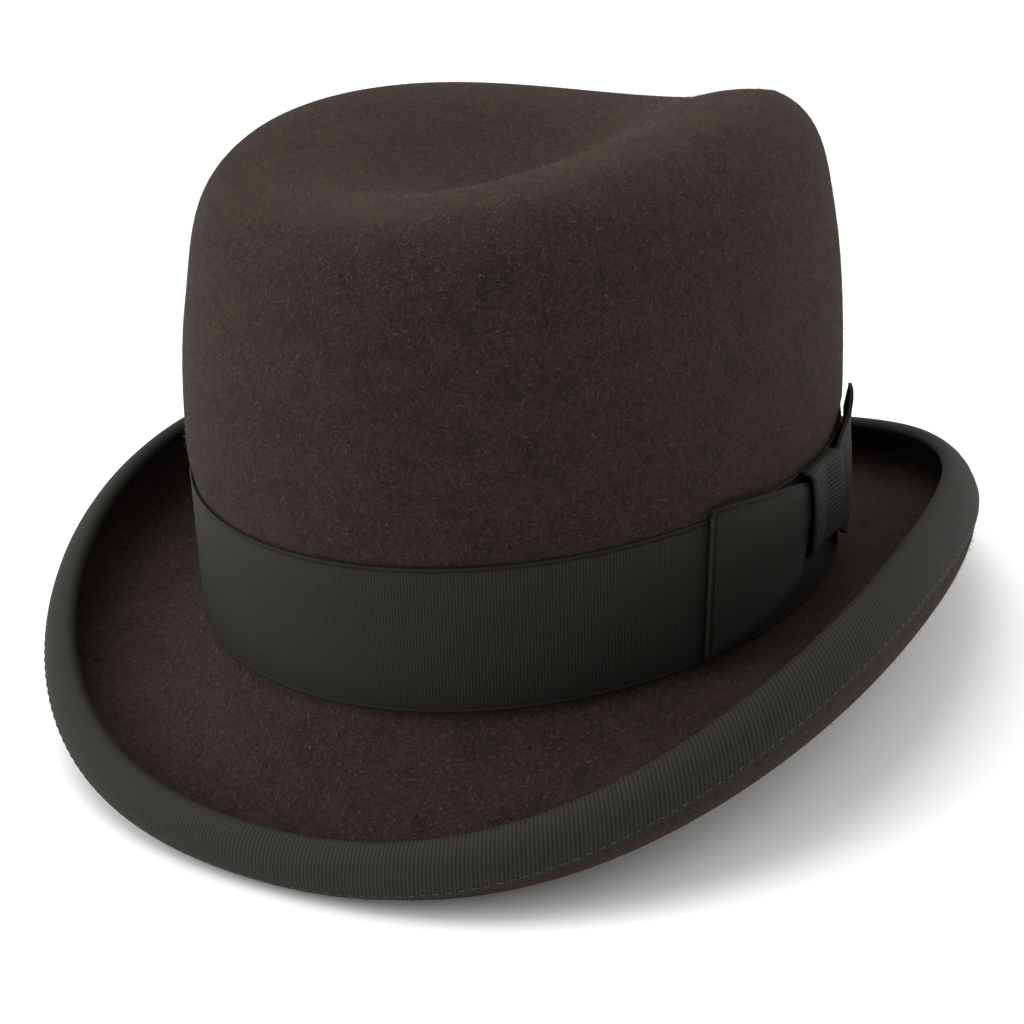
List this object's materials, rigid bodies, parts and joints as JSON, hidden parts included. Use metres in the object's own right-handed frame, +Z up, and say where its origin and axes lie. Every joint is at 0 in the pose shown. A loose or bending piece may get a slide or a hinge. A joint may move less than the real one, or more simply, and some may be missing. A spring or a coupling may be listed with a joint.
{
  "type": "homburg hat",
  "caption": "Felt homburg hat: dented crown, curled and bound brim, ribbon band with a flat side bow, leather sweatband and satin lining.",
  "frame": {"origin": "on the ground under the middle of the hat's bounding box, with the hat standing on its brim", "axes": "+Z up; the front of the hat faces -Y; the wearer's left, where the bow is, is +X; the hat is longest along Y"},
  "size_m": [0.2585, 0.2921, 0.1617],
  "materials": {
    "felt": "brushed wool felt",
    "ribbon": "ribbed grosgrain",
    "thread": "twisted thread",
    "satin": "satin",
    "leather": "smooth",
    "reed": "matte"
  },
  "bodies": {
    "root": {"felt_body": "felt", "brim_binding": "ribbon", "binding_thread_outer": "thread", "binding_thread_inner": "thread", "hat_band": "ribbon", "bow_ribbon": "ribbon", "bow_knot": "ribbon", "lining_tip": "satin", "lining_wall": "satin", "lining_piping": "satin", "sweatband": "leather", "sweatband_reed": "reed", "sweatband_thread": "thread"}
  },
  "joints": []
}
